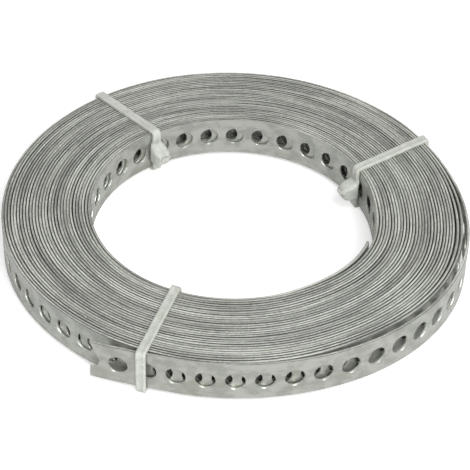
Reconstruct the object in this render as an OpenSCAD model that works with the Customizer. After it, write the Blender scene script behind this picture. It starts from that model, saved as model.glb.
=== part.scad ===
// A roll of perforated galvanised steel strap, lying flat and held by three nylon cable ties.
// The coil's axis is vertical. Angles are seen from above, counterclockwise from +X.
// The middle turns are one turned body with a groove between each two turns on both ends.
// The two outer turns and the two inner turns are true spirals that grow out of that body.

/* [Strap] */
// Width of the strap, which is the height of the coil
strap_w = 12; // [10:0.5:20]
// Thickness of the strap
strap_t = 0.75; // [0.6:0.05:1]
// Diameter of the punched holes
hole_d = 5.2; // [4:0.1:6]
// Distance from hole to hole along the strap
hole_pitch = 7.64; // [7:0.02:12]

/* [Coil] */
// Diameter of the open middle of the coil
bore_d = 78.4; // [60:0.2:120]
// Number of turns
turns = 30; // [10:1:40]
// Gap between two turns that are wound tight
turn_gap = 0.084; // [0.06:0.002:0.15]
// Width of the groove that shows between two turns on the ends of the coil
groove_w = 0.2; // [0.1:0.02:0.4]
// Depth of that groove
groove_depth = 1; // [0.5:0.1:1.5]

/* [Outer end] */
// Angle of the cut end
tail_at = 238; // [225:1:245]
// Distance that the cut end springs away from the coil
tail_lift = 3.1; // [0.5:0.1:5]
// Angle over which the end springs away
tail_span = 19; // [12:1:25]
// Distance from the cut end to the middle of the first whole hole
first_hole = 7.6; // [6:0.1:7.7]
// Depth to which the snipped edge slants into the hole that the cut runs through
snip_depth = 2.2; // [0.5:0.1:2.5]
// Angle before the cut end over which each outer turn moves in by one pitch
outer_shift = 48; // [30:1:70]

/* [Bulge] */
// Distance that the outermost turn bulges away from the coil
bulge = 2.85; // [0:0.05:4]
// Share of the bulge that the second turn follows
second_share = 0.5; // [0:0.05:0.6]
// Angle at which the bulge starts
bulge_from = 271; // [262:1:290]
// Angle at which it is highest
bulge_at = 335; // [320:1:345]
// Angle at which it ends, counted on past 360
bulge_to = 386; // [370:1:400]

/* [Inner end] */
// Angle of the cut end
tip_at = 339; // [320:1:350]
// Distance that the cut end springs away from the coil
tip_lift = 0.6; // [0.1:0.1:2]
// Angle over which the end springs away
tip_span = 57; // [30:1:90]
// Distance from the cut end to the middle of the last whole hole
last_hole = 11.8; // [3.5:0.1:12]
// Angle behind the cut end at which the inner turns start to move in
inner_shift_from = 40; // [20:1:60]
// Angle over which each inner turn moves in by one pitch
inner_shift = 190; // [100:1:220]

/* [Cable ties] */
// Width of the band
tie_w = 2.6; // [2:0.1:3.6]
// Thickness of the band
tie_t = 1.1; // [0.8:0.1:1.5]
// Clearance between a tie and the walls of the coil
tie_clear = 0.1; // [0.09:0.01:0.3]
// Angle of the front tie
front_at = 249.4; // [248:0.1:252]
// Angle that the front tie runs on between the bore and the outside
front_lean = 1.75; // [-4:0.05:4]
// Angle of the left tie
left_at = 127.4; // [110:0.1:150]
// Angle that the left tie runs on between the bore and the outside
left_lean = 3.4; // [-6:0.1:6]
// Angle of the right tie
right_at = 28; // [20:0.1:40]
// Angle that the right tie runs on between the bore and the outside
right_lean = 4.3; // [-8:0.1:8]

/* [Ratchet head] */
// Width of the head, around the wall of the bore
head_w = 5; // [4:0.1:5.5]
// Length of the head, up the wall of the bore
head_l = 7.2; // [6:0.1:8]
// Length over which the head swells from the band, below its front
foot_l = 2.8; // [1:0.1:3.5]
// Distance that the head stands out from the wall
head_t = 5.2; // [4:0.1:5.6]
// Height of the head above the underside of the coil
head_rise = 1.2; // [0.8:0.1:2.5]
// Length of the trimmed tail that stands out of the head
stub_l = 0.5; // [0.3:0.1:3]

/* [Hidden] */

steel = [0.67, 0.68, 0.67];
nylon = [0.86, 0.87, 0.84];
body_faces = 180;     // sides of the turned body
hole_faces = 32;      // sides of a hole
outer_step = 3;       // degrees between the points of an outer turn
inner_step = 4;       // degrees between the points of an inner turn

pitch = strap_t + turn_gap;
free_turns = 2;       // spiral turns on the outside, and as many on the inside
core_turns = turns - 2 * free_turns;
core_in = bore_d / 2 + (free_turns - 0.5) * pitch;
core_out = core_in + core_turns * pitch;
bite = 0.15;          // depth that the root of a spiral turn reaches past the groove beside it
root_out = core_out - groove_w / 2 - bite;   // inner face of the root of the outer turns
root_in = core_in + groove_w / 2 + bite;     // outer face of the root of the inner turns
outer_end = tail_at + 360 * free_turns;
outer_root = outer_end - outer_shift;
inner_end = tip_at - 360 * free_turns + 360 - inner_shift_from - inner_shift;
inner_root = tip_at - 360 * (free_turns - 1) - 1.5 * inner_shift_from;
over = 1;             // distance that a cutter runs past what it cuts
root_fade = 10;       // degrees over which a root's free face dives into the body

// ---- the way the strap runs ----

// Half a cosine wave: 0 to 1 while x goes from 0 to 1
function swell(x) = (1 - cos(180 * min(max(x, 0), 1))) / 2;
// Point at angle a and radius r
function at(a, r) = [r * cos(a), r * sin(a)];
// Angle that a length takes up along a circle of radius r
function degrees_of(length, r) = length / r * 180 / PI;

// Share of one pitch that a turn has moved in, x degrees past its outer end
function moved_in(x) = swell((x - 360 + outer_shift) / outer_shift);
// Share of one pitch that a turn has moved out, x degrees back from its inner end
function moved_out(x) = swell((x - inner_shift_from) / inner_shift);
// Rise and fall of the bulge, for a counted on from the cut end
function bulge_shape(a) =
    a < bulge_at ? swell((a - bulge_from) / (bulge_at - bulge_from))
                 : swell((bulge_to - a) / (bulge_to - bulge_at));
// Spring of the cut outer end
function tail_shape(a) = tail_lift * pow(max(1 - (a - tail_at) / tail_span, 0), 1.7);

// Radius of the outer face of the outer turns. a counts on from tail_at over all of them.
function outer_r(a) =
    let (n = min(floor((a - tail_at) / 360), free_turns - 1), x = a - tail_at - 360 * n)
        core_out + pitch * (free_turns - n - moved_in(x)) + tail_shape(a)
        + bulge * (bulge_shape(a) + second_share * bulge_shape(a - 360));
// Radius of the inner face of the inner turns. a counts back from tip_at over all of them.
function inner_r(a) =
    let (n = min(floor((tip_at - a) / 360), free_turns - 1), x = tip_at - a - 360 * n)
        core_in - pitch * (free_turns - n - moved_out(x))
        - tip_lift * swell(1 - (tip_at - a) / tip_span);
// Slope of each wall against a circle, in degrees, so that each hole stands square to the strap
function outer_slope(a) = atan((outer_r(a + 1) - outer_r(a - 1)) / (outer_r(a) * PI / 90));
function inner_slope(a) = atan((inner_r(a + 1) - inner_r(a - 1)) / (inner_r(a) * PI / 90));

// Angles of the holes, one hole_pitch apart along the strap. The cut at the outer end runs
// through the edge of the hole before the first whole one. A root has no holes where less
// than half the strap still stands out of the turned body.
function outer_pace(a) = degrees_of(hole_pitch, outer_r(a) - strap_t / 2);
function inner_pace(a) = degrees_of(hole_pitch, inner_r(a) + strap_t / 2);
outer_start = tail_at + degrees_of(first_hole, outer_r(tail_at));
outer_holes = [for (a = outer_start - outer_pace(tail_at); a < outer_end; a = a + outer_pace(a))
    if (outer_r(a) > core_out + strap_t / 2) a];
inner_holes = [for (a = tip_at - degrees_of(last_hole, inner_r(tip_at)); a > inner_end;
    a = a - inner_pace(a)) if (inner_r(a) < core_in - strap_t / 2) a];

// The origin is under the middle of the whole roll, which the bulge moves off the coil's axis
loose_turn = [for (a = [tail_at : outer_step : tail_at + 360]) at(a, outer_r(a))];
axis_x = -(max([for (p = loose_turn) p.x]) + min([for (p = loose_turn) p.x])) / 2;
axis_y = -(max([for (p = loose_turn) p.y]) + min([for (p = loose_turn) p.y])) / 2;

// ---- the strap ----

// Section of the turned body: the edge of each turn stands up between two grooves
module body_section() {
    edge = pitch - groove_w;
    starts = [for (k = [0 : core_turns - 1]) core_in + k * pitch + groove_w / 2];
    high = strap_w - groove_depth;
    top = [for (r = starts) each [[r, high], [r, strap_w], [r + edge, strap_w], [r + edge, high]]];
    bottom = [for (k = [core_turns - 1 : -1 : 0]) let (r = starts[k])
        each [[r + edge, groove_depth], [r + edge, 0], [r, 0], [r, groove_depth]]];
    polygon(concat([[core_in, groove_depth], [core_in, high]], top,
                   [[core_out, high], [core_out, groove_depth]], bottom));
}

// A length of strap between a near and a far wall, as tall as the strap is wide
module strap_run(angles, near, far) {
    last = len(angles) - 1;
    linear_extrude(height = strap_w)
        polygon(concat([for (k = [0 : last]) at(angles[k], far[k])],
                       [for (k = [last : -1 : 0]) at(angles[k], near[k])]));
}

// A hole through the strap at angle a and radius r, turned square to the wall
module punch(a, r, slope) {
    translate([r * cos(a), r * sin(a), strap_w / 2])
        rotate([0, 90, a - slope])
            cylinder(d = hole_d, h = 4 * strap_t, center = true, $fn = hole_faces);
}

// What the shears take off the cut end, from its top edge slanting down into the torn hole
module snip() {
    low = strap_w / 2 + over;
    high = strap_w + over;
    slant = snip_depth * over / (strap_w - low);
    reach = 4 * strap_t;
    rotate([0, 0, tail_at])
        translate([outer_r(tail_at) - strap_t / 2 - reach / 2, 0, 0])
            rotate([90, 0, 90])
                linear_extrude(height = reach)
                    polygon([[-3 * over, low], [snip_depth, low], [-slant, high], [-3 * over, high]]);
}

// Outer turn n, counted from the outside. The last one has its root in the turned body.
module outer_turn(n) {
    from = tail_at + 360 * n;
    angles = [for (a = [from : outer_step : from + 360]) a];
    far = [for (a = angles) a > outer_end - root_fade ? root_out + bite / 2 : outer_r(a)];
    near = [for (a = angles) a > outer_root ? root_out : outer_r(a) - strap_t];
    difference() {
        strap_run(angles, near, far);
        for (a = outer_holes)
            if (a > from - outer_step && a < from + 360 + outer_step)
                punch(a, outer_r(a) - strap_t / 2, outer_slope(a));
        if (n == 0) snip();
    }
}

// Inner turn n, counted from the bore. The last one has its root in the turned body.
module inner_turn(n) {
    from = tip_at - 360 * n;
    to = max(from - 360, inner_end);
    count = ceil((from - to) / inner_step);
    angles = [for (k = [0 : count]) from - (from - to) * k / count];
    near = [for (a = angles) a < inner_end + root_fade / 2 ? root_in - bite / 2 : inner_r(a)];
    far = [for (a = angles) a < inner_root ? root_in : inner_r(a) + strap_t];
    difference() {
        strap_run(angles, near, far);
        for (a = inner_holes)
            if (a < from + inner_step && a > to - inner_step)
                punch(a, inner_r(a) + strap_t / 2, inner_slope(a));
    }
}

module perforated_strap() {
    color(steel)
        translate([axis_x, axis_y, tie_t])
            union() {
                rotate_extrude($fn = body_faces) body_section();
                for (n = [0 : free_turns - 1]) outer_turn(n);
                for (n = [0 : free_turns - 1]) inner_turn(n);
            }
}

// ---- the cable ties ----

band_edge = 0.25;     // bevel along the two outer edges of the band
corner_r = 0.08;      // inside radius of the band where it turns a corner of the coil
twist_l = 5;          // length over which the band twists between a wall and the strip above it
slope_l = 1;          // length over which the head slopes back to the band, above its front
round_r = 1.2;        // rounding of the head's two upright edges
slot_side = 0.2;      // clearance at each side of the trimmed tail, in the mouth of its slot
slot_over = 0.15;     // clearance over and under the trimmed tail
slot_depth = 0.5;     // depth of the mouth of the slot
stub_hold = 0.7;      // length of the trimmed tail that is fused into the head behind the mouth
mid_r = corner_r + tie_t / 2;
low_z = tie_t / 2;                 // middle of the strip under the coil
high_z = strap_w + 1.5 * tie_t;    // middle of the strip over the coil

// Distance from the coil's axis at which something flat and half as wide as half meets a wall
function bore_seat(a, half) =
    min([for (s = [-3 : 3]) inner_wall(a + s)]) * cos(asin(half / (bore_d / 2))) - tie_clear;
function rim_seat(a) = max([for (s = [-1.5, 0, 1.5]) outer_wall(a + s)]) + tie_clear;
// The innermost and the outermost face of the coil at angle a
function inner_wall(a) = inner_r(a > tip_at ? a - 360 : a);
function outer_wall(a) = outer_r(a < tail_at ? a + 360 : a);
// Turns the horizontal direction of the band from the one wall's to the other's
function facing(s, length, walls, run) =
    run + (walls[0] - run) * (1 - swell(s / twist_l))
        + (walls[1] - run) * swell((s - length + twist_l) / twist_l);

// Places along the band's loop: distance out from the bore, height, and outward direction
function loop_stations(length) = let (
    bends = [0 : 45 : 90],
    bits = [for (k = [1 : 4]) k / 4 * twist_l],
    strip = concat(bits, [for (k = [3 : -1 : 0]) length - bits[k]]))
    concat(
        [for (b = bends) [mid_r * (1 - cos(b)), high_z - mid_r * (1 - sin(b)), -cos(b), sin(b)]],
        [for (s = strip) [s, high_z, 0, 1]],
        [for (b = bends) [length - mid_r * (1 - sin(b)), high_z - mid_r * (1 - cos(b)),
                          sin(b), cos(b)]],
        [for (b = bends) [length - mid_r * (1 - cos(b)), low_z + mid_r * (1 - sin(b)),
                          cos(b), -sin(b)]],
        [for (k = [len(strip) - 1 : -1 : 0]) [strip[k], low_z, 0, -1]],
        [for (b = bends) [mid_r * (1 - sin(b)), low_z + mid_r * (1 - cos(b)), -sin(b), -cos(b)]]);

// The band: a rectangle with two bevelled edges, carried round the section of the coil
module tie_band(from, to, walls) {
    heading = atan2(to.y - from.y, to.x - from.x);
    run = heading < walls[0] - 180 ? heading + 360 : heading;
    length = norm(to - from);
    stations = loop_stations(length);
    w = tie_w / 2;
    t = tie_t / 2;
    e = band_edge;
    section = [[w, -t], [w, t - e], [w - e, t], [e - w, t], [-w, t - e], [-w, -t]];
    n = len(section);
    m = len(stations);
    points = [for (s = stations) let (
            turn = facing(s[0], length, walls, run),
            out = [cos(turn), sin(turn)],
            side = [-sin(turn), cos(turn)],
            middle = from + s[0] * [cos(run), sin(run)])
        for (p = section) let (flat = middle + p[0] * side + p[1] * s[2] * out)
            [flat.x, flat.y, s[1] + p[1] * s[3]]];
    faces = [for (i = [0 : m - 1], j = [0 : n - 1]) let (
            a = i * n + j, b = i * n + (j + 1) % n,
            c = (i + 1) % m * n + (j + 1) % n, d = (i + 1) % m * n + j)
        each [[a, c, b], [a, d, c]]];
    polyhedron(points = points, faces = faces, convexity = 4);
}

// The ratchet head, drawn with its back to the wall at x = 0 and its front towards the bore
module tie_head() {
    slot_w = tie_w + 2 * slot_side;
    slot_h = tie_t + 2 * slot_over;
    stub_root = slot_depth + stub_hold;
    mid = (foot_l + head_l - slope_l) / 2;
    difference() {
        intersection() {
            rotate([90, 0, 0])
                linear_extrude(height = head_w, center = true)
                    polygon([[0, 0], [-tie_t, 0], [-head_t, foot_l],
                             [-head_t, head_l - slope_l], [-tie_t, head_l], [0, head_l]]);
            translate([-head_t / 2, 0, head_l / 2])
                rounded_post(head_t, head_w, head_l + 2 * over, round_r);
        }
        translate([-head_t + (slot_depth - over) / 2, 0, mid])
            cube([slot_depth + over, slot_w, slot_h], center = true);
    }
    translate([-head_t + (stub_root - stub_l) / 2, 0, mid])
        cube([stub_root + stub_l, tie_w, tie_t], center = true);
}

// An upright post whose edges towards -x are rounded
module rounded_post(x, y, z, r) {
    linear_extrude(height = z, center = true)
        union() {
            translate([r / 2, 0]) square([x - r, y], center = true);
            square([x, y - 2 * r], center = true);
            for (side = [-1, 1]) translate([r - x / 2, side * (y / 2 - r)]) circle(r = r, $fn = 24);
        }
}

module cable_tie(mid_at, lean) {
    bore_at = mid_at - lean / 2;
    rim_at = mid_at + lean / 2;
    from = at(bore_at, bore_seat(bore_at, tie_w / 2) - tie_t / 2);
    to = at(rim_at, rim_seat(rim_at) + tie_t / 2);
    color(nylon)
        translate([axis_x, axis_y, 0])
            union() {
                tie_band(from, to, [bore_at, rim_at]);
                rotate([0, 0, bore_at])
                    translate([bore_seat(bore_at, head_w / 2), 0, tie_t + head_rise])
                        tie_head();
            }
}

module cable_tie_front() { cable_tie(front_at, front_lean); }
module cable_tie_left() { cable_tie(left_at, left_lean); }
module cable_tie_right() { cable_tie(right_at, right_lean); }

perforated_strap();
cable_tie_front();
cable_tie_left();
cable_tie_right();
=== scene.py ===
import math

import bpy
import numpy as np
from bpy.props import FloatProperty, FloatVectorProperty, IntProperty, PointerProperty
from mathutils import Matrix, Vector


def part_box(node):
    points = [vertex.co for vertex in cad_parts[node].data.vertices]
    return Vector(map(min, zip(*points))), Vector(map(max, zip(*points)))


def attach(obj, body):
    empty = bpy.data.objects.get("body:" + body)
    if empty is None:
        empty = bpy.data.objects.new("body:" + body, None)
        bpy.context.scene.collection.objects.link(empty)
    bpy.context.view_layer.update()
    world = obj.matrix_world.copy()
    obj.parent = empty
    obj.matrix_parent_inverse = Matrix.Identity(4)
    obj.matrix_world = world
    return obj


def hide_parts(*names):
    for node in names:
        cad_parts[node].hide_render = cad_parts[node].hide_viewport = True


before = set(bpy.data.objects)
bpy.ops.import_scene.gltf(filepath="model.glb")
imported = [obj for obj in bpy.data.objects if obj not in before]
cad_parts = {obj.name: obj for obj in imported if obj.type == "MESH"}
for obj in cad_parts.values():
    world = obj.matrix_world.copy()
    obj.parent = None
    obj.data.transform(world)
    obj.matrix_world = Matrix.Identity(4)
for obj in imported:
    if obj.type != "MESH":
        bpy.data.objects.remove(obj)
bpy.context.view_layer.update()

bl_info = {
    "name": "Roll of perforated strap",
    "version": (1, 0, 0),
    "blender": (4, 5, 0),
    "location": "3D View > Sidebar > Strap roll",
    "description": "Winds a perforated steel strap into a roll and ties it with three cable ties",
    "category": "Add Mesh",
}

STRAP_LOW, STRAP_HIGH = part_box("perforated_strap")
MM = 0.001
PLACE = "flat_place"      # attribute: a point's place on the flat blank, in millimetres


def length(name, description, value_mm, low=0.0, high=1000.0):
    """A length property, stated in millimetres and kept in metres."""
    return FloatProperty(name=name, description=description, default=value_mm * MM,
                         min=low * MM, max=high * MM, unit="LENGTH", precision=5)


def degrees(name, description, value):
    """An angle in degrees, kept as a plain number because the turns are counted past 360."""
    return FloatProperty(name=name, description=description, default=value)


def colour(name, description, value):
    return FloatVectorProperty(name=name, description=description, default=value, size=3,
                               min=0.0, max=1.0, subtype="COLOR")


# ---- sizes and finishes that a user may change ----

class StrapSizes(bpy.types.PropertyGroup):
    """Section, holes and cut ends of the strap."""
    width: length("Width", "Width of the strap, which is the height of the roll",
                  (STRAP_HIGH.z - STRAP_LOW.z) / MM)
    thickness: length("Thickness", "Thickness of the strap", 0.75)
    edge: length("Edge round", "Bevel that the slitting rolls leave along each edge", 0.13)
    hole: length("Hole", "Diameter of a punched hole", 5.2)
    pitch: length("Hole pitch", "Distance from hole to hole along the strap", 7.64)
    first: length("First hole", "Distance from the cut outer end to the first whole hole", 7.6)
    last: length("Last hole", "Distance from the last whole hole to the cut inner end", 11.8)
    snip: length("Snip", "Depth to which the shears slant into the torn hole", 2.2)
    rise: length("Edge unevenness", "Most that a turn stands above or below its neighbours", 0.09)


class CoilSizes(bpy.types.PropertyGroup):
    """How the strap is wound."""
    axis_x: length("Axis", "Place of the roll's axis, left of the middle of its box", -0.829,
                   -10.0)
    turn: length("Turn", "Distance from one turn to the next", 0.834)
    core_in: length("Core inside", "Radius where the tight middle turns start", 40.451)
    core_out: length("Core outside", "Radius where the tight middle turns end", 62.124)
    free: IntProperty(name="Free turns", description="Loose turns outside and inside the core",
                      default=2, min=1, max=3)
    whole: IntProperty(name="Whole turns", description="Whole turns of strap in the roll",
                       default=29, min=8, max=40)
    tail_at: degrees("Outer end", "Angle of the cut outer end", 238.0)
    tail_lift: length("Outer end lift", "How far the outer end springs away", 3.1)
    tail_span: degrees("Outer end span", "Angle over which the outer end springs away", 19.0)
    tail_shift: degrees("Outer shift", "Angle over which an outer turn moves in", 48.0)
    bulge: length("Bulge", "How far the outermost turn bulges away", 2.85)
    tip_at: degrees("Inner end", "Angle of the cut inner end", 339.0)
    tip_lift: length("Inner end lift", "How far the inner end springs away", 0.6)
    tip_span: degrees("Inner end span", "Angle over which the inner end springs away", 57.0)
    tip_from: degrees("Inner shift start", "Angle behind the inner end where it starts", 40.0)
    tip_shift: degrees("Inner shift", "Angle over which an inner turn moves in", 190.0)
    looseness: length("Looseness", "How much the gaps between the turns vary", 0.02)
    seed: IntProperty(name="Seed", description="Start of the chance unevenness", default=7)


class TieSizes(bpy.types.PropertyGroup):
    """Band, teeth and ratchet head of a cable tie."""
    width: length("Band width", "Width of the band", 2.6)
    thickness: length("Band thickness", "Thickness of the band", 1.1)
    clearance: length("Clearance", "Distance between the band and the walls of the roll", 0.1)
    bend: length("Bend", "Inside radius where the band turns a corner of the roll", 0.08)
    twist: length("Twist", "Length over which the band twists at each corner", 5.0)
    tooth: length("Tooth", "Distance from one tooth of the band to the next", 0.8)
    tooth_depth: length("Tooth depth", "Depth of the teeth", 0.05)
    head_width: length("Head width", "Width of the ratchet head", 5.0)
    head_length: length("Head length", "Length of the ratchet head, up the wall", 7.2)
    foot: length("Foot", "Length over which the head swells below its front", 2.8)
    neck: length("Neck", "Length over which the band widens above the head", 2.2)
    head_depth: length("Head depth", "Distance that the head stands out from the wall", 5.2)
    head_rise: length("Head rise", "Height of the head above the underside of the roll", 1.2)
    stub: length("Stub", "Length of the trimmed tail that stands out of the head", 0.5)


class Finishes(bpy.types.PropertyGroup):
    """Colours of the steel and of the nylon, and of the painted shade on the steel."""
    zinc: colour("Zinc", "Colour of the galvanised faces", (0.50, 0.513, 0.47))
    zinc_dull: colour("Dull zinc", "Colour of the duller patches", (0.36, 0.371, 0.338))
    stain: colour("Stain", "Colour of the faint stains on the faces", (0.33, 0.33, 0.27))
    # Also mixed into the walls inside the strap's thickness, mostly the punched hole walls, where
    # it is partly bare metal and partly painted highlight.
    edge_bright: colour("Bright edge", "Colour of a freshly slit edge", (0.87, 0.893, 0.815))
    edge_dull: colour("Dull edge", "Colour of a grey edge", (0.40, 0.412, 0.37))
    edge_dark: colour("Dark band", "Colour that darker turns go towards", (0.10, 0.10, 0.095))
    # Painted shade: faces that two turns or more lie over are darkened to this, though their zinc
    # is the same as the rest.
    covered: colour("Covered zinc", "Colour of faces that two turns cover", (0.06, 0.06, 0.055))
    gap: colour("Gap", "Colour of the shaded corners between turns", (0.02, 0.02, 0.018))
    nylon: colour("Nylon", "Colour of the natural nylon", (0.665, 0.675, 0.64))
    floor: colour("Floor", "Colour of the floor", (0.86, 0.86, 0.86))


SETTINGS = {"strap_sizes": StrapSizes, "coil_sizes": CoilSizes, "tie_sizes": TieSizes,
            "roll_finishes": Finishes}


# ---- curves and chance ----

def swell(x):
    """Half a cosine wave: 0 to 1 while x goes from 0 to 1."""
    return (1 - np.cos(np.pi * np.clip(x, 0, 1))) / 2


def chance(seed, x):
    """Smooth chance values between about -1 and 1: a cubic through one value per whole x."""
    whole = np.floor(x).astype(int)
    values = np.random.default_rng(seed).uniform(-1, 1, whole.max() + 5)
    t = x - whole
    a, b, c, d = (values[whole + k] for k in range(4))
    return b + t / 2 * (c - a + t * (2 * a - 5 * b + 4 * c - d + t * (3 * (b - c) + d - a)))


def lengths_along(line):
    """Distance from the start of a line to each of its points."""
    steps = np.linalg.norm(np.diff(line, axis=0), axis=1)
    return np.concatenate([[0], np.cumsum(steps)])


def hill(x, start, top, end):
    """Rises from start to top and falls again to end."""
    return np.where(x < top, swell((x - start) / (top - start)), swell((end - x) / (end - top)))


# ---- the way the strap runs ----

FINE = 0.5                # degrees between the points of the path
PURE = 0.2                # turns of the core that still follow the outer or the inner rule
LOOSE_EVERY = 22          # degrees from one chance value of the gaps to the next
SWING = 2                 # slow swing of the gaps, in times the looseness
SWING_TURNS = 6.3         # turns that one swing takes
DRIFT = 0.5               # most that a swing comes early or late, in swings
DRIFT_EVERY = 700         # degrees from one chance value of the drift to the next
SPRING = 1.7              # power of the curve along which the outer end springs away
BULGE = (271.0, 335.0, 386.0)     # where the bulge starts, where it is highest, where it ends
RIPPLE_FROM = 296.0       # where the ripple of the turns under it starts
RIPPLES = ((335.0, 384.0, 0.60), (335.0, 374.0, 0.53), (333.0, 369.0, 0.50))
RISES = ((0.6, 37), (0.4, 9))     # share of the unevenness, degrees from value to value
TIES = {"cable_tie_front": (249.4, 1.75), "cable_tie_left": (127.4, 3.4),
        "cable_tie_right": (28.0, 4.3)}   # middle of the tie, and how far it leans
LEVEL_SPAN = 9            # degrees over which the unevenness comes back beside a tie
LEVEL_HALF = 0.3          # how far from the tie's middle that starts, in times the span


class Path:
    """The strap's centre line in plan, from the cut outer end to the cut inner end.

    The radius of an outer turn is the core's outer radius and one turn more for each turn
    under it; it moves in by one turn over the last part before the cut end. An inner turn is
    the same from the inside. Between the two the radius goes over smoothly from the one rule
    to the other. The outer end springs away, the outermost turn bulges, and the turns under
    it follow with a lower ripple, which for the deeper ones ends sooner: RIPPLES has its top,
    its end and its share of the bulge for the second turn, the third, and all the rest. The
    turns stand a little uneven in height, but are level under the ties."""

    def __init__(self, coil, strap):
        total = coil.tip_at - coil.tail_at + 360 * coil.whole
        a = np.arange(0, total + FINE / 2, FINE)
        turn_no, x = np.divmod(a, 360)
        back_no, y = np.divmod(total - a, 360)
        outer = (coil.core_out - strap.thickness / 2 + coil.turn
                 * (coil.free - turn_no - swell((x - 360 + coil.tail_shift) / coil.tail_shift)))
        inner = (coil.core_in + strap.thickness / 2 - coil.turn
                 * (coil.free - back_no - swell((y - coil.tip_from) / coil.tip_shift)))
        share = swell((a / 360 - coil.free - PURE) / (total / 360 - 2 * coil.free - 2 * PURE))
        radius = (1 - share) * outer + share * inner
        theta = a + coil.tail_at
        loose = swell(a / 360 - 1) * swell(total / 360 - 1 - a / 360)
        gaps = chance(coil.seed, a / LOOSE_EVERY)
        swings = a / 360 / SWING_TURNS + DRIFT * chance(coil.seed + 1, a / DRIFT_EVERY)
        radius += coil.looseness * loose * (gaps + SWING * np.sin(2 * math.pi * swings))
        radius += coil.tail_lift * np.clip(1 - a / coil.tail_span, 0, 1) ** SPRING
        around = (theta - BULGE[0]) % 360 + BULGE[0]
        under = np.clip(turn_no - 1, 0, len(RIPPLES) - 1).astype(int)
        top, low, part = np.array(RIPPLES)[under].T
        radius += coil.bulge * np.where(turn_no == 0, hill(around, *BULGE),
                                        part * hill(around, RIPPLE_FROM, top, low))
        radius -= coil.tip_lift * swell(1 - (total - a) / coil.tip_span)
        beside = [np.abs((theta - middle + 180) % 360 - 180) for middle, _ in TIES.values()]
        level = swell(np.min(beside, axis=0) / LEVEL_SPAN - LEVEL_HALF)
        uneven = [part * chance(coil.seed + 2 + k, a / every)
                  for k, (part, every) in enumerate(RISES)]
        self.rise = strap.rise * level * sum(uneven)
        self.theta, self.radius = theta, radius
        t = np.radians(theta)
        self.points = np.stack([radius * np.cos(t), radius * np.sin(t)], 1)
        ahead = np.gradient(self.points, axis=0)
        ahead /= np.linalg.norm(ahead, axis=1)[:, None]
        self.outward = np.stack([ahead[:, 1], -ahead[:, 0]], 1)
        self.run = lengths_along(self.points)
        self.axis = coil.axis_x
        self.middle = (STRAP_LOW.z + STRAP_HIGH.z) / 2

    def wind(self, flat):
        """Carries points of the flat blank (along, across, through) to the wound roll: along is
        measured on the centre line, across becomes height, through goes square to the wall."""
        s = flat[:, 0]
        x, y, nx, ny, rise = (np.interp(s, self.run, v) for v in
                              (*self.points.T, *self.outward.T, self.rise))
        return np.stack([x + nx * flat[:, 2] + self.axis, y + ny * flat[:, 2],
                         self.middle + flat[:, 1] + rise], 1)

    def place_of(self, degrees_on):
        """Distance along the strap to an angle that is counted on from the outer end."""
        return float(np.interp(degrees_on, self.theta, self.run))

    def wall(self, angle, inside):
        """Radius of the centre line of the outermost or the innermost turn at an angle."""
        start = self.theta[-1] - 360 if inside else self.theta[0]
        return float(np.interp(start + (angle - start) % 360, self.theta, self.radius))


# ---- the flat blank ----

SIDES = 32                # points round a hole, and lengths round the rim of its cell
ROWS = 2                  # rows of faces between a hole and the rim of its cell
WELD = 1e-7               # metres: points that are the same, rounded to this, become one
ARC_POINTS = 200          # points on the torn hole's arc, from which the even ones are taken
ARC_END = 62              # degrees: the arc's end on the side of the slant
RIM_STEPS = 5             # lengths of the torn cell's rim along each side of the strap


def weld(points, faces):
    """Merges points that are the same. Returns points and faces."""
    keys = np.round(points / WELD).astype(np.int64)
    _, first, back = np.unique(keys, axis=0, return_index=True, return_inverse=True)
    return points[first], back.ravel()[faces]


def sheet_between(inner, outer, rows, closed):
    """Straight lines from each point of the inner line to its partner on the outer line."""
    n = len(inner)
    t = np.linspace(0, 1, rows + 1)[:, None, None]
    points = ((1 - t) * inner + t * outer).reshape(-1, 2)
    i = np.arange(n if closed else n - 1)
    j = (i + 1) % n
    k = np.arange(rows)[:, None] * n
    quads = np.stack([k + i, k + n + i, k + n + j, k + j], -1).reshape(-1, 4)
    return points, quads


def cell_rim(half_pitch, half_width):
    """The rim of a hole's cell, counterclockwise, a quarter of its lengths to a side. Like the
    hole's points, it starts in the direction of the run."""
    side = np.linspace(-1, 1, SIDES // 4 + 1)[:-1]
    one = np.ones_like(side)
    x = np.concatenate([one, -side, -one, side]) * half_pitch
    y = np.concatenate([side, one, -side, -one]) * half_width
    return np.roll(np.stack([x, y], 1), -SIDES // 8, axis=0)


def holed_cells(middles, strap):
    """One cell for each hole: rings that go over from the round hole to the square rim."""
    turn = np.linspace(0, 2 * math.pi, SIDES, endpoint=False)
    hole = strap.hole / 2 * np.stack([np.cos(turn), np.sin(turn)], 1)
    points, quads = sheet_between(hole, cell_rim(strap.pitch / 2, strap.width / 2), ROWS, True)
    count = len(points)
    many = (points[None] + np.stack([middles, 0 * middles], 1)[:, None]).reshape(-1, 2)
    return many, (quads[None] + count * np.arange(len(middles))[:, None, None]).reshape(-1, 4)


def plain_length(start, end, columns, half_width, rows):
    """A length of strap without holes, as a plain grid."""
    x, y = np.meshgrid(np.linspace(start, end, columns + 1),
                       np.linspace(-half_width, half_width, rows + 1))
    i = np.arange(rows)[:, None] * (columns + 1) + np.arange(columns)
    quads = np.stack([i, i + 1, i + columns + 2, i + columns + 1], -1).reshape(-1, 4)
    return np.stack([x.ravel(), y.ravel()], 1), quads


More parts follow.
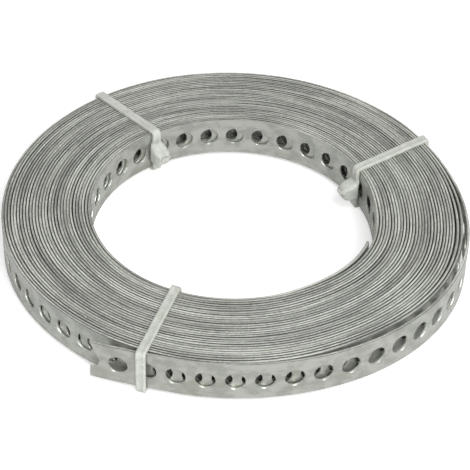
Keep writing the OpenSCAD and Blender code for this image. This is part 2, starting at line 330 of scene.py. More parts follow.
def torn_cell(strap):
    """The cut end: what the shears leave of the hole that the cut runs through. The cut is
    square up to slant_from, and slants from there to the strap's edge. Lines go from the arc
    that is left of the hole to the rim of the cell."""
    middle, edge = strap.first - strap.pitch, strap.first - strap.pitch / 2
    r, half = strap.hole / 2, strap.width / 2
    slant_from = half / 6
    turn = np.linspace(-math.acos(-middle / r), math.radians(ARC_END), ARC_POINTS)
    arc = np.stack([middle + r * np.cos(turn), r * np.sin(turn)], 1)
    slant = strap.snip * (half - arc[:, 1]) / (half - slant_from)
    kept = arc[(arc[:, 0] >= slant) | (arc[:, 1] < slant_from)]
    along = np.linspace(0, edge, RIM_STEPS + 1)[:-1]
    side = np.linspace(-half, half, SIDES // 4 + 1)
    rim = np.concatenate([np.stack([along, 0 * along - half], 1),
                          np.stack([0 * side + edge, side], 1),
                          np.stack([along[::-1], 0 * along + half], 1)])
    steps = np.linspace(0, len(kept) - 1, len(rim)).astype(int)
    return sheet_between(kept[steps], rim, ROWS, False)


def joined(*sheets):
    """Several sheets of points and quads as one."""
    before = np.cumsum([0] + [len(points) for points, _ in sheets])
    return (np.concatenate([points for points, _ in sheets]),
            np.concatenate([quads + n for (_, quads), n in zip(sheets, before)]))


def thicken(points, quads, thickness, bevel):
    """Gives a flat sheet its thickness, with a bevel along every rim. Each rim point has an
    offset square to the two rim edges that meet there; the faces stop one bevel inside it.
    Returns points (along, across, through), faces, and the pairs of points that stay sharp."""
    n = len(points)
    half = thickness / 2
    edges = np.concatenate([quads[:, [k, (k + 1) % 4]] for k in range(4)])
    rim = edges[~np.isin(edges[:, 0] * n + edges[:, 1], edges[:, 1] * n + edges[:, 0])]
    ahead = points[rim[:, 1]] - points[rim[:, 0]]
    ahead /= np.linalg.norm(ahead, axis=1)[:, None]
    out = np.zeros((n, 2))
    for end in (0, 1):
        np.add.at(out, rim[:, end], np.stack([ahead[:, 1], -ahead[:, 0]], 1))
    square = (out ** 2).sum(1)
    on_rim = np.flatnonzero(square)
    inset = points.copy()
    inset[on_rim] -= 2 * bevel * out[on_rim] / square[on_rim, None]
    order = np.zeros(n, int)
    order[on_rim] = np.arange(len(on_rim))
    m = len(on_rim)
    solid = np.concatenate([
        np.c_[inset, np.full(n, half)], np.c_[inset, np.full(n, -half)],
        np.c_[points[on_rim], np.full(m, half - bevel)],
        np.c_[points[on_rim], np.full(m, bevel - half)]])
    p, q = rim.T
    upper, lower = 2 * n + order, 2 * n + m + order
    walls = [np.stack([low[p], low[q], high[q], high[p]], 1) for low, high in
             ((upper, np.arange(n)), (lower, upper), (np.arange(n) + n, lower))]
    faces = np.concatenate([quads, quads[:, ::-1] + n, *walls])
    return solid, faces, np.concatenate([rim, rim + n])


# ---- meshes ----

def make_piece(name, points, faces, material, sharp=None, place=None, angle=60):
    """A mesh object at the origin from arrays. faces is a list of arrays, one per face size.
    Edges over that many degrees stay sharp, and so do the pairs of points in sharp. place has
    each point's place on the flat blank."""
    mesh = bpy.data.meshes.new(name)
    corners = np.concatenate([f.ravel() for f in faces])
    sizes = np.concatenate([np.full(len(f), f.shape[1]) for f in faces])
    mesh.vertices.add(len(points))
    mesh.vertices.foreach_set("co", points.astype(np.float32).ravel())
    mesh.loops.add(len(corners))
    mesh.loops.foreach_set("vertex_index", corners.astype(np.int32))
    mesh.polygons.add(len(sizes))
    mesh.polygons.foreach_set("loop_start", (np.cumsum(sizes) - sizes).astype(np.int32))
    mesh.update(calc_edges=True)
    if mesh.validate():
        raise RuntimeError(name + " has faces that are not valid")
    mesh.shade_smooth()
    mesh.set_sharp_from_angle(angle=math.radians(angle))
    if sharp is not None:
        pairs = np.zeros(2 * len(mesh.edges), np.int32)
        mesh.edges.foreach_get("vertices", pairs)
        pairs = np.sort(pairs.reshape(-1, 2).astype(np.int64), axis=1)
        marked = np.zeros(len(mesh.edges), bool)
        layer = mesh.attributes["sharp_edge"] if "sharp_edge" in mesh.attributes else (
            mesh.attributes.new("sharp_edge", "BOOLEAN", "EDGE"))
        layer.data.foreach_get("value", marked)
        sharp = np.sort(sharp.astype(np.int64), axis=1)
        n = len(points)
        marked |= np.isin(pairs[:, 0] * n + pairs[:, 1], sharp[:, 0] * n + sharp[:, 1])
        layer.data.foreach_set("value", marked)
    if place is not None:
        layer = mesh.attributes.new(PLACE, "FLOAT_VECTOR", "POINT")
        layer.data.foreach_set("vector", (place / MM).astype(np.float32).ravel())
    mesh.materials.append(material)
    piece = bpy.data.objects.new(name, mesh)
    bpy.context.scene.collection.objects.link(piece)
    return piece


def wound_piece(name, path, strap, points, quads, material):
    """A piece of the flat blank, welded, thickened and wound onto the path."""
    points, quads = weld(points, quads)
    solid, faces, sharp = thicken(points, quads, strap.thickness, strap.edge)
    return make_piece(name, path.wind(solid), [faces], material, sharp, solid)


# ---- materials ----

class Tree:
    """A node tree, with short ways to add nodes to it. Inputs are sockets or values. put
    returns the new node, vector its outputs, and the ways after that its one output."""

    def __init__(self, owner):
        self.nodes, self.links = owner.nodes, owner.links

    def fill(self, node, inputs):
        """Links or sets inputs of a node, which are given by name or by number."""
        for key, value in inputs.items():
            if isinstance(value, bpy.types.NodeSocket):
                self.links.new(value, node.inputs[key])
            else:
                node.inputs[key].default_value = value

    def put(self, kind, inputs=(), **settings):
        """Adds a node with its settings and inputs."""
        node = self.nodes.new(kind)
        for key, value in settings.items():
            setattr(node, key, value)
        self.fill(node, dict(inputs))
        return node

    def vector(self, operation, *values):
        return self.put("ShaderNodeVectorMath", enumerate(values), operation=operation).outputs

    def math(self, operation, *values):
        return self.put("ShaderNodeMath", enumerate(values), operation=operation).outputs[0]

    def ramp(self, value, low, high, out_low=0.0, out_high=1.0):
        """Smooth step of a value from low to high."""
        inputs = {"Value": value, "From Min": low, "From Max": high, "To Min": out_low,
                  "To Max": out_high}
        return self.put("ShaderNodeMapRange", inputs, interpolation_type="SMOOTHSTEP").outputs[0]

    def weighted(self, shares, *values):
        """Sum of values, each times its own share."""
        total = self.math("MULTIPLY", values[0], shares[0])
        for value, share in zip(values[1:], shares[1:]):
            total = self.math("MULTIPLY_ADD", value, share, total)
        return total

    def mix(self, factor, first, second):
        """Mixes two colours, from first at 0 to second at 1. The colour sockets are numbers 6
        and 7, and output 2, because the node's names repeat for its other kinds."""
        pair = [c if isinstance(c, bpy.types.NodeSocket) else (*c, 1.0)
                for c in (first, second)]
        inputs = {"Factor": factor, 6: pair[0], 7: pair[1]}
        return self.put("ShaderNodeMix", inputs, data_type="RGBA").outputs[2]

    def grain(self, place, stretch, detail):
        """The stretched_grain group with its own values: how many grains there are to one
        unit of each coordinate, and the detail."""
        group = bpy.data.node_groups.get(GRAIN) or grain_group()
        inputs = {"Place": place, "Stretch": stretch, "Detail": detail}
        return self.put("ShaderNodeGroup", inputs, node_tree=group).outputs["Grain"]

    def bump(self, height, distance, strength):
        """Roughens the surface by a height from 0 to 1, which stands for a distance."""
        inputs = {"Height": height, "Distance": distance, "Strength": strength}
        return self.put("ShaderNodeBump", inputs).outputs["Normal"]


def new_material(name):
    material = bpy.data.materials.new(name)
    material.use_nodes = True
    tree = Tree(material.node_tree)
    return material, tree, tree.nodes["Principled BSDF"]


def finish_material(make, *values):
    """The material that make makes, which has its name. It is made once."""
    return bpy.data.materials.get(make.__name__) or make(*values)


GRAIN = "stretched_grain"


def grain_group():
    """Node group: noise stretched along one direction, from 0 to 1, with named inputs."""
    group = bpy.data.node_groups.new(GRAIN, "ShaderNodeTree")
    for name, way, kind in (("Place", "INPUT", "Vector"), ("Stretch", "INPUT", "Vector"),
                            ("Detail", "INPUT", "Float"), ("Grain", "OUTPUT", "Float")):
        group.interface.new_socket(name, in_out=way, socket_type="NodeSocket" + kind)
    tree = Tree(group)
    given = tree.put("NodeGroupInput").outputs
    stretched = tree.vector("MULTIPLY", given["Place"], given["Stretch"])[0]
    noise = tree.put("ShaderNodeTexNoise", {"Scale": 1.0, "Vector": stretched,
                                            "Detail": given["Detail"]})
    tree.put("NodeGroupOutput", {"Grain": noise.outputs["Fac"]})
    return group


BAND_GRAIN = ((0.035, 0.035, 0.45), 4.0)   # per millimetre in plan, in plan and outwards


def ring_bands(tree, axis):
    """Noise that goes slowly round the roll and faster outwards, so that a few turns share it."""
    place = tree.put("ShaderNodeTexCoord").outputs["Object"]
    flat = tree.vector("MULTIPLY_ADD", place, (1 / MM, 1 / MM, 0), (-axis / MM, 0, 0))[0]
    plan = tree.put("ShaderNodeSeparateXYZ", {0: flat}).outputs
    radius = tree.vector("LENGTH", flat)["Value"]
    polar = tree.put("ShaderNodeCombineXYZ", {"X": plan["X"], "Y": plan["Y"], "Z": radius})
    return tree.grain(polar.outputs[0], *BAND_GRAIN)


# Grains of the steel: how many to a millimetre along, across and through the strap, and detail.
PATCHES = ((0.22, 0.3, 0.3), 4.0)
STREAKS = ((0.09, 2.2, 1.0), 3.0)
PITS = ((1.6, 3.2, 2.0), 3.0)
STAINS = ((0.05, 0.16, 0.3), 3.0)
LONG_RUNS = ((0.03, 0.05, 0.4), 2.0)
SHORT_RUNS = ((0.5, 0.1, 2.0), 2.0)
SPECKLE = ((1.3, 2.2, 2.2), 2.0)
# OPEN_GAPS is the grain that sets how dark the painted shade between the turns goes.
OPEN_GAPS = ((0.022, 0.05, 1.1), 3.0)

# Ramps of the steel: where a value starts to count and where it is full, and what it gives at
# those two places if that isn't 0 and 1.
PATCHED, ZINC_SHOWS = (0.35, 0.65), (0.35, 0.85)
STAINED = (0.56, 0.72, 0.0, 0.6)
# DEEP ramps in the painted shade on the faces that two turns or more lie over.
DEEP = ((780, 820, 0.0, 0.7), (480, 500, 0.0, 0.7))    # mm from the outer and the inner end
# PUNCHED: the walls inside the thickness go bright, partly as bare punched metal and partly as
# painted highlight.
PUNCHED = (0.6, 1.2, 0.0, 0.6)                         # bevels in from the face
BURR = (-0.1, 0.5)                                     # half thicknesses from the middle
RUNNING, SPECKLED = (0.36, 0.62, -0.16, 0.5), (0.35, 0.65)
# CORNER is where the painted shade between the turns ramps in; GAPING is where the grain takes
# that shade to the gap colour.
CORNER, EDGE = (1.35, 0.85), (1.1, 0.7)                # bevels in from the face or the side
GAPING = (0.36, 0.52)
DARK_BANDS, BRIGHT_BANDS = (0.45, 0.6, 0.0, 0.32), (0.46, 0.34, 0.0, 0.14)
FACE_ROUGH = (0.2, 0.8, 0.27, 0.19)

COAT = (0.35, 0.5, 0.4)   # shares of the patches, the pits and the streaks
RUNS = (0.65, 0.35)       # shares of the long runs and the short ones
SLIT = (1.0, 0.36, 0.42)  # shares of the runs, the burr and the speckle
EDGE_ROUGHER = 0.3
METAL = 0.6               # the clean zinc's; the gaps between the turns have none
STEEL_RELIEF = (0.2 * MM, 0.3)


def zinc_coated(strap, axis, length_mm, finish):
    """Zinc-coated strip. Faces have soft patches and faint drawn streaks, and painted shade
    where two turns or more lie over them; the punched hole walls are bright, partly as bare
    metal and partly as painted highlight. Slit edges go in bright and grey lengths, and carry
    painted shade towards the corners, where the next turn lies."""
    material, tree, shader = new_material("zinc_coated")
    at = tree.put("ShaderNodeAttribute", attribute_name=PLACE).outputs["Vector"]
    along, side, depth = tree.put("ShaderNodeSeparateXYZ", {0: at}).outputs
    across, through = tree.math("ABSOLUTE", side), tree.math("ABSOLUTE", depth)
    half_w, half_t = strap.width / MM / 2, strap.thickness / MM / 2

    def ramp_in(value, rim, low, high, *gives):
        """A ramp whose two places are counted in bevels in from the rim."""
        bevel = strap.edge / MM
        return tree.ramp(value, rim - low * bevel, rim - high * bevel, *gives)

    patches = tree.ramp(tree.grain(at, *PATCHES), *PATCHED)
    streaks, pits = tree.grain(at, *STREAKS), tree.grain(at, *PITS)
    coat = tree.weighted(COAT, patches, pits, streaks)
    face = tree.mix(tree.ramp(coat, *ZINC_SHOWS), finish.zinc_dull, finish.zinc)
    face = tree.mix(tree.ramp(tree.grain(at, *STAINS), *STAINED), face, finish.stain)
    # Painted shade: faces that two turns or more lie over are darkened, though they are the same
    # zinc.
    from_tip = tree.math("SUBTRACT", length_mm, along)
    covered = tree.math("MINIMUM", tree.ramp(along, *DEEP[0]), tree.ramp(from_tip, *DEEP[1]))
    face = tree.mix(covered, face, finish.covered)
    # Punched hole walls: partly bare metal, partly painted highlight, also where the faces carry
    # the painted shade under the turns.
    face = tree.mix(ramp_in(through, half_t, *PUNCHED), face, finish.edge_bright)

    burr = tree.ramp(depth, BURR[0] * half_t, BURR[1] * half_t)
    runs = tree.weighted(RUNS, tree.grain(at, *LONG_RUNS), tree.grain(at, *SHORT_RUNS))
    speckle = tree.ramp(tree.grain(at, *SPECKLE), *SPECKLED)
    slit = tree.weighted(SLIT, tree.ramp(runs, *RUNNING), burr, speckle)
    edge = tree.mix(slit, finish.edge_dull, finish.edge_bright)
    # Painted shade between the turns: the edges darken towards their corners, to the gap colour
    # where the grain is high, else to dull grey.
    open_gap = tree.ramp(tree.grain(at, *OPEN_GAPS), *GAPING)
    corner = ramp_in(through, half_t, *CORNER)
    edge = tree.mix(corner, edge, tree.mix(open_gap, finish.edge_dull, finish.gap))
    bands = ring_bands(tree, axis)
    edge = tree.mix(tree.ramp(bands, *DARK_BANDS), edge, finish.edge_dark)
    edge = tree.mix(tree.ramp(bands, *BRIGHT_BANDS), edge, finish.edge_bright)

    on_edge = ramp_in(across, half_w, *EDGE)
    # in_gap is where the painted shade between the turns lies; the metal is taken out there, so
    # that it stays dark.
    in_gap = tree.math("MULTIPLY", corner, on_edge)
    rough = tree.ramp(coat, *FACE_ROUGH)
    tree.fill(shader, {
        "Base Color": tree.mix(on_edge, face, edge),
        "Roughness": tree.math("MULTIPLY_ADD", on_edge, EDGE_ROUGHER, rough),
        "Metallic": tree.math("MULTIPLY_ADD", in_gap, -METAL, METAL),
        "Normal": tree.bump(tree.math("ADD", pits, streaks), *STEEL_RELIEF)})
    return material


# Nylon: grains to a metre and detail, and ramps, as for the steel.
CLOUDS = ((450.0, 450.0, 450.0), 3.0)
FINE_GRAIN = ((2600.0, 2600.0, 2600.0), 2.0)
MILKY, NYLON_ROUGH = (0.4, 0.6), (0.3, 0.7, 0.34, 0.48)
MILK = (0.5, 0.5)         # shares of the clouds and the fine grain
DARKER = (0.80, 0.82, 0.77)     # colour of the darker spots, in times the nylon's own
NYLON_RELIEF = (0.06 * MM, 0.4)


def milky_nylon(finish):
    """Uncoloured nylon: milky and slightly green, with a soft sheen and faint clouds."""
    material, tree, shader = new_material("milky_nylon")
    place = tree.put("ShaderNodeTexCoord").outputs["Object"]
    clouds, fine = (tree.grain(place, *kind) for kind in (CLOUDS, FINE_GRAIN))
    milk = tree.ramp(tree.weighted(MILK, clouds, fine), *MILKY)
    dark = tuple(c * k for c, k in zip(finish.nylon, DARKER))
    tree.fill(shader, {
        "Base Color": tree.mix(milk, dark, finish.nylon),
        "Roughness": tree.ramp(fine, *NYLON_ROUGH),
        "IOR": 1.53,
        "Subsurface Weight": 0.25,
        "Subsurface Scale": 1.2 * MM,
        "Subsurface Radius": (1.0, 1.0, 0.8),
        "Normal": tree.bump(fine, *NYLON_RELIEF)})
    return material


# ---- the strap ----

PERFORATED = 4            # turns that have real holes, at the outside and at the inside
PLAIN_STEP = 1.5          # degrees between the points of a plain turn
TIP_COLUMNS = 7           # columns of faces between the last whole hole and the inner end


class ROLL_OT_strap(bpy.types.Operator):
    """Winds the strap: four perforated outer turns, the plain core, four inner turns"""
    bl_idname = "roll.strap"
    bl_label = "Wind the strap"

    def execute(self, context):
        scene = context.scene
        strap, coil = scene.strap_sizes, scene.coil_sizes
        path = Path(coil, strap)
        steel = finish_material(zinc_coated, strap, coil.axis_x, float(path.run[-1] / MM),
                                scene.roll_finishes)
        half, end = strap.width / 2, path.run[-1]

        reach = path.place_of(coil.tail_at + 360 * PERFORATED)
        count = int((reach - strap.first) / strap.pitch)
        middles = strap.first + strap.pitch * np.arange(count)
        core_from = middles[-1] + strap.pitch / 2
        sheet = joined(holed_cells(middles, strap), torn_cell(strap))
        outer = wound_piece("strap_outer_turns", path, strap, *sheet, steel)

        reach = end - path.place_of(path.theta[-1] - 360 * PERFORATED)
        count = int((reach - strap.last) / strap.pitch)
        middles = end - strap.last - strap.pitch * np.arange(count)
        core_to = middles[-1] - strap.pitch / 2
        tip = plain_length(middles[0] + strap.pitch / 2, end, TIP_COLUMNS, half, SIDES // 4)
        sheet = joined(holed_cells(middles, strap), tip)
        inner = wound_piece("strap_inner_turns", path, strap, *sheet, steel)

        start, stop = np.interp([core_from, core_to], path.run, path.theta)
        columns = int((stop - start) / PLAIN_STEP)
        points, quads = plain_length(0, columns, columns, half, 1)
        points[:, 0] = np.interp(start + points[:, 0] * (stop - start) / columns,
                                 path.theta, path.run)
        middle = wound_piece("strap_core_turns", path, strap, points, quads, steel)
        for piece in (outer, inner, middle):
            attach(piece, "root")
        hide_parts("perforated_strap")
        return {"FINISHED"}


# ---- the cable ties ----
# Their sections and heads are worked out in millimetres.

BEND_POINTS = 7           # stations round each corner of the roll
TOOTH_STATIONS = 4        # stations to each tooth
BAND_BEVEL = 0.22         # bevel along the band's edges
RAIL = (0.55, 0.12)       # from the band's side to the rail's foot, and the rail's slope
TOOTH_START = 0.5         # how deep a tooth starts under the rails, in tooth depths
HEAD_RINGS, HEAD_POINTS = 30, 48
HEAD_ENDS = 0.95          # size of the head's ends, in times the band's section
HEAD_BACK = 1.8           # height below the head's top where it starts to go back
DEPTH_BACK = 2.4          # height over which the depth goes back
HEAD_SECTION = ((0, 1), (0.6, 1), (0.92, 0.8), (1, 0.5))    # parts of the depth, half width
SLOT_DROP = 0.5           # how far the slot is below the middle of the head
COLLAR = 0.1              # how far the collar round the slot stands out of the head
COLLAR_POINTS = 36
COLLAR_SECTION = ((0.62, 1.2), (0.58, 0.1), (0.48, 0.0), (0.2, 0.0), (0.12, 0.08), (0.1, 0.5))
STUB_POINTS = 28
STUB_PLAY = 0.02          # how much the tail is thinner than the band, on each side
STUB_ROOT = 1.2           # how far the tail reaches into the head
STUB_END = (0.1, 0.9)     # length of the tail's rounded end, and its size
STUB_SLANT = 0.12         # slope of the tail's cut end
HEAD_HALF = range(-3, 4)  # degrees from a head's middle at which it must clear the wall
BAND_HALF = (-1.5, 0, 1.5)      # the same for the band at the outside
TIE_SMOOTH = 55           # degrees: edges over this stay sharp


def direction(angle):
    """The direction at an angle in degrees."""
    return np.array([math.cos(math.radians(angle)), math.sin(math.radians(angle))])


def band_stations(tie, far, height):
    """Places round the band's loop, as arrays: distance out from the bore, height over the
    floor, and the two parts of the outward direction. Four straight runs, joined by quarter
    circles round the corners of the roll."""
    t = tie.thickness / MM / 2
    r, low, high = tie.bend / MM + t, t, height - t
    bend = np.radians(np.linspace(0, 90, BEND_POINTS))
    c, s, step = np.cos(bend), np.sin(bend), tie.tooth / MM / TOOTH_STATIONS

    def straight(x0, y0, x1, y1, nx, ny):
        n = int(math.hypot(x1 - x0, y1 - y0) / step)
        k = np.linspace(0, 1, n + 1)[1:-1]
        one = np.ones_like(k)
        return np.stack([x0 + (x1 - x0) * k, y0 + (y1 - y0) * k, nx * one, ny * one], 1)

    corners = [(r, high - r, -c, s), (far - r, high - r, s, c), (far - r, low + r, c, -s),
               (r, low + r, -s, -c)]
    arcs = [np.stack([x + r * nx, y + r * ny, nx, ny], 1) for x, y, nx, ny in corners]
    runs = [straight(r, high, far - r, high, 0, 1), straight(far, high - r, far, low + r, 1, 0),
            straight(far - r, low, r, low, 0, -1), straight(0, low + r, 0, high - r, -1, 0)]
    return np.concatenate([part for pair in zip(arcs, runs) for part in pair])


def tube(rings, closed_path):
    """Faces between rings of equally many points, as quads."""
    m, n = rings.shape[:2]
    i = np.arange(m if closed_path else m - 1)[:, None]
    j = np.arange(n)
    k, l = (i + 1) % m, (j + 1) % n
    return np.stack([i * n + j, i * n + l, k * n + l, k * n + j], -1).reshape(-1, 4)


def tie_band(tie, start, end, walls, height):
    """The band: a flat section with two rails and teeth between them, carried round the loop.
    Its direction in plan twists between the walls and the straight run across the roll."""
    start, end = start / MM, end / MM
    heading = math.degrees(math.atan2(*(end - start)[::-1]))
    run = walls[0] + (heading - walls[0] + 180) % 360 - 180
    far = float(np.linalg.norm(end - start))
    at = band_stations(tie, far, height / MM)
    twist = tie.twist / MM
    turn = np.radians(run + (walls[0] - run) * (1 - swell(at[:, 0] / twist))
                      + (walls[1] - run) * swell((at[:, 0] - far + twist) / twist))
    out = np.stack([np.cos(turn), np.sin(turn)], 1)
    side = np.stack([-np.sin(turn), np.cos(turn)], 1)
    w, t, e = tie.width / MM / 2, tie.thickness / MM / 2, BAND_BEVEL
    tooth = (lengths_along(at[:, :2]) / (tie.tooth / MM)) % 1
    dip = tie.tooth_depth / MM * (TOOTH_START + tooth)
    across = [w - e, w - e / 3, w, w, w - e / 3, w - e, w - RAIL[0], w - sum(RAIL)]
    across += [-x for x in across[::-1]]
    up = [-t, e / 3 - t, e - t, t - e, t - e / 3, t, t, t - dip]
    up += up[::-1]
    centre = start + at[:, :1] * direction(run)
    rings = np.zeros((len(at), len(across), 3))
    for k, (x, y) in enumerate(zip(across, up)):
        rings[:, k, :2] = centre + x * side + (y * at[:, 2])[:, None] * out
        rings[:, k, 2] = at[:, 1] + y * at[:, 3]
    return rings.reshape(-1, 3) * MM, tube(rings, True)


def loft(rings):
    """A closed body from rings, with a middle point at each end. Returns points and faces."""
    m, n = rings.shape[:2]
    ends = np.stack([rings[0].mean(0), rings[-1].mean(0)])
    points = np.concatenate([rings.reshape(-1, 3), ends])
    j = np.arange(n)
    k = (j + 1) % n
    first, last = m * n, m * n + 1
    caps = np.concatenate([np.stack([k, j, np.full(n, first)], 1),
                           np.stack([(m - 1) * n + j, (m - 1) * n + k, np.full(n, last)], 1)])
    return points, tube(rings, False), caps


def smooth_outline(corners, count, rounds=3):
    """A closed outline of count points: the corners are cut off again and again, and the
    result is divided into equal lengths."""
    line = np.array(corners, float)
    for _ in range(rounds):
        after = np.roll(line, -1, axis=0)
        line = np.stack([0.75 * line + 0.25 * after, 0.25 * line + 0.75 * after], 1)
        line = line.reshape(-1, 2)
    ring = np.concatenate([line, line[:1]])
    run = lengths_along(ring)
    want = np.linspace(0, run[-1], count, endpoint=False)
    return np.stack([np.interp(want, run, ring[:, k]) for k in (0, 1)], 1)


def tie_head(tie):
    """The ratchet head, back to the wall at x = 0 and front towards -x, its foot at z = 0: a
    rounded section that swells from the band's own, on half a cosine wave, and goes back to it.
    The depth goes back sooner than the width. The rings run down, so that faces point out."""
    w, l, d = tie.head_width / MM / 2, tie.head_length / MM, tie.head_depth / MM - COLLAR
    neck, t, top = tie.width / MM / 2, tie.thickness / MM, l + tie.neck / MM
    back = l - HEAD_BACK
    rings = []
    for z in np.linspace(top, 0, HEAD_RINGS):
        swollen = swell(z / (tie.foot / MM))
        deep = HEAD_ENDS * t + (d - t) * swollen * (1 - swell((z - back) / DEPTH_BACK))
        half = HEAD_ENDS * neck + (w - neck) * swollen * (1 - swell((z - back) / (top - back)))
        side = [(-x * deep, y * half) for x, y in HEAD_SECTION]
        outline = smooth_outline(side + [(x, -y) for x, y in side[::-1]], HEAD_POINTS)
        rings.append(np.c_[outline, np.full(HEAD_POINTS, z)])
    return np.array(rings) * MM


def flat_outline(y, z, count):
    """A rounded flat outline, from its half width and half height."""
    return smooth_outline([(y, -z), (y, z), (-y, z), (-y, -z)], count, 2)


def slot_at(tie):
    """The middle of the slot, across and up from the head's foot."""
    return 0, (tie.foot + tie.head_length) / MM / 2 - SLOT_DROP


def slot_collar(tie):
    """The low collar round the slot. COLLAR_SECTION goes up the outside, over and down inside:
    how far each ring is outside the band's own section, and how far in from the head's front."""
    w, t, d = tie.width / MM / 2, tie.thickness / MM / 2, tie.head_depth / MM
    rings = [np.c_[np.full(COLLAR_POINTS, x - d),
                   flat_outline(w + wide, t + wide, COLLAR_POINTS) + slot_at(tie)]
             for wide, x in COLLAR_SECTION]
    return np.array(rings) * MM


def tie_stub(tie):
    """The trimmed tail in the slot: a flat rounded section, carried out of the head, with its
    end cut slightly aslant."""
    outline = flat_outline(tie.width / MM / 2 - STUB_PLAY, tie.thickness / MM / 2 - STUB_PLAY,
                           STUB_POINTS)
    front = -tie.head_depth / MM
    end = front - tie.stub / MM
    rings = []
    for x, size in ((front + STUB_ROOT, 1), (front, 1), (end + STUB_END[0], 1),
                    (end, STUB_END[1])):
        slant = STUB_SLANT * outline[:, 1] * (x < front)
        rings.append(np.c_[x + slant, outline * size + slot_at(tie)])
    return np.array(rings) * MM


class ROLL_OT_ties(bpy.types.Operator):
    """Ties the roll with three cable ties, with their ratchet heads on the wall of the bore"""
    bl_idname = "roll.ties"
    bl_label = "Tie the roll"

    def execute(self, context):
        scene = context.scene
        strap, coil, tie = scene.strap_sizes, scene.coil_sizes, scene.tie_sizes
        path = Path(coil, strap)
        nylon = finish_material(milky_nylon, scene.roll_finishes)
        for name, (middle, lean) in TIES.items():
            low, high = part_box(name)
            bore, rim = middle - lean / 2, middle + lean / 2
            gap = strap.thickness / 2 + tie.clearance + tie.thickness / 2
            inside = min(path.wall(bore + k, True) for k in HEAD_HALF) - gap
            outside = max(path.wall(rim + k, False) for k in BAND_HALF) + gap
            axis = (coil.axis_x, 0)
            points, quads = tie_band(tie, inside * direction(bore) + axis,
                                     outside * direction(rim) + axis, (bore, rim),
                                     high.z - low.z)
            parts, four, three = [points], [quads], []
            seat = inside + tie.thickness / 2
            c, s = direction(bore)
            for rings in (tie_head(tie), slot_collar(tie), tie_stub(tie)):
                body, sides, caps = loft(rings)
                x, y = seat + body[:, 0], body[:, 1]
                placed = np.c_[x * c - y * s + coil.axis_x, x * s + y * c,
                               body[:, 2] + STRAP_LOW.z + tie.head_rise]
                before = sum(len(p) for p in parts)
                parts.append(placed)
                four.append(sides[:, ::-1] + before)
                three.append(caps[:, ::-1] + before)
            piece = make_piece(name + "_nylon", np.concatenate(parts),
                               [np.concatenate(four), np.concatenate(three)], nylon,
                               angle=TIE_SMOOTH)
            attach(piece, "root")
            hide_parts(name)
        return {"FINISHED"}


# ---- the stage ----

CAMERA_AT = (0.163 * MM, -389.07 * MM, 329.53 * MM)
CAMERA_TO = (0.163 * MM, 1.092 * MM, 1.1 * MM)
CAMERA_ROLL = 0.0274942   # radians
CAMERA_SEES = (0.01, 10.0)      # from and to, in metres
LENS, SENSOR = 138.16, 36.0     # millimetres
FLOOR_REACH = 3.0         # metres from the middle of the floor to its sides
WORLD_LIGHT = (0.38, 0.65, 1.0)     # strength for what it lights, mirrors it, looks at it
FLOOR_LIGHT = (0.0, 0.15, 0.5)      # the same for the floor's own light
FLOOR_MIRRORED = 0.8      # how bright the floor's colour is to what mirrors it
LAMPS = {"key": ((0.35, -0.5, 0.9), 0.6, 6.2), "fill": ((-0.6, -0.3, 0.7), 0.8, 0.6),
         "front": ((0.25, -0.9, 0.35), 0.5, 3.8)}     # place, diameter and power


def light_seen(tree, lit, mirrored, looked_at):
    """Strength of a light: one value for what it lights, one for what mirrors it, and one for
    what looks straight at it."""
    rays = tree.put("ShaderNodeLightPath").outputs
    mirror = tree.math("MAXIMUM", rays["Is Glossy Ray"], rays["Is Transmission Ray"])
    total = tree.math("MULTIPLY_ADD", mirror, mirrored - lit, lit)
    return tree.math("MULTIPLY_ADD", rays["Is Camera Ray"], looked_at - lit, total)


def area_lamp(name, place, size, power):
    """A round lamp that shines on the middle of the roll."""
    lamp = bpy.data.lights.new(name, "AREA")
    lamp.shape, lamp.size, lamp.energy = "DISK", size, power
    holder = bpy.data.objects.new(name, lamp)
    bpy.context.scene.collection.objects.link(holder)
    holder.location = place
    holder.rotation_mode = "QUATERNION"
    holder.rotation_quaternion = (-Vector(place)).to_track_quat("-Z", "Y")


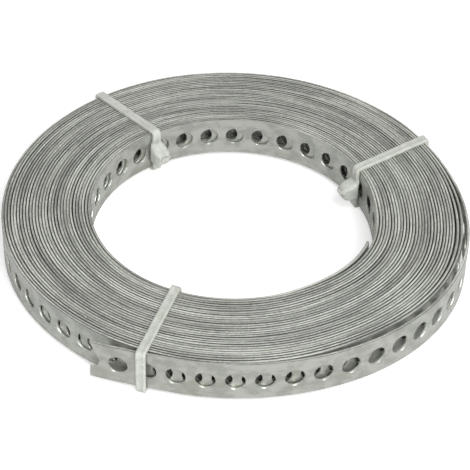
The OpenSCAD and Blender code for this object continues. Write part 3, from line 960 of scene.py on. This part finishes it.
class ROLL_OT_stage(bpy.types.Operator):
    """Sets the pale floor, the soft studio light and the camera"""
    bl_idname = "roll.stage"
    bl_label = "Set the stage"

    def execute(self, context):
        scene = context.scene
        scene.view_settings.view_transform = "Standard"

        world = bpy.data.worlds.new("studio")
        world.use_nodes = True
        scene.world = world
        tree = Tree(world.node_tree)
        tree.fill(tree.nodes["Background"], {"Color": (1, 1, 1, 1),
                                             "Strength": light_seen(tree, *WORLD_LIGHT)})

        mesh = bpy.data.meshes.new("floor")
        r = FLOOR_REACH
        mesh.from_pydata([(-r, -r, 0), (r, -r, 0), (r, r, 0), (-r, r, 0)], [], [(0, 1, 2, 3)])
        floor = bpy.data.objects.new("floor", mesh)
        scene.collection.objects.link(floor)
        material, tree, shader = new_material("pale_floor")
        pale = scene.roll_finishes.floor
        glossy = tree.put("ShaderNodeLightPath").outputs["Is Glossy Ray"]
        tree.fill(shader, {
            "Base Color": tree.mix(glossy, pale, [FLOOR_MIRRORED * part for part in pale]),
            "Roughness": 0.9,
            "Specular IOR Level": 0.0,
            "Emission Color": (1, 1, 1, 1),
            "Emission Strength": light_seen(tree, *FLOOR_LIGHT)})
        mesh.materials.append(material)

        for name, values in LAMPS.items():
            area_lamp(name, *values)

        camera = bpy.data.cameras.new("camera")
        camera.lens, camera.sensor_width, camera.sensor_fit = LENS, SENSOR, "HORIZONTAL"
        camera.clip_start, camera.clip_end = CAMERA_SEES
        holder = bpy.data.objects.new("camera", camera)
        scene.collection.objects.link(holder)
        look = (Vector(CAMERA_TO) - Vector(CAMERA_AT)).to_track_quat("-Z", "Y").to_matrix()
        turned = look @ Matrix.Rotation(CAMERA_ROLL, 3, "Z")
        holder.matrix_world = Matrix.Translation(CAMERA_AT) @ turned.to_4x4()
        scene.camera = holder
        return {"FINISHED"}


# ---- the add-on ----

STEPS = (ROLL_OT_strap, ROLL_OT_ties, ROLL_OT_stage)


class ROLL_PT_panel(bpy.types.Panel):
    """Lists the sizes and the steps"""
    bl_idname = "ROLL_PT_panel"
    bl_label = "Strap roll"
    bl_space_type = "VIEW_3D"
    bl_region_type = "UI"
    bl_category = "Strap roll"

    def draw(self, context):
        for step in STEPS:
            self.layout.operator(step.bl_idname)
        for name, group in SETTINGS.items():
            box = self.layout.box()
            box.label(text=group.__doc__)
            for key in group.__annotations__:
                box.prop(getattr(context.scene, name), key)


CLASSES = (*SETTINGS.values(), *STEPS, ROLL_PT_panel)


def register():
    for cls in CLASSES:
        bpy.utils.register_class(cls)
    for name, group in SETTINGS.items():
        setattr(bpy.types.Scene, name, PointerProperty(type=group))


def unregister():
    for name in SETTINGS:
        delattr(bpy.types.Scene, name)
    for cls in reversed(CLASSES):
        bpy.utils.unregister_class(cls)


def main():
    register()
    bpy.ops.roll.strap()
    bpy.ops.roll.ties()
    bpy.ops.roll.stage()


if __name__ == "__main__":
    main()
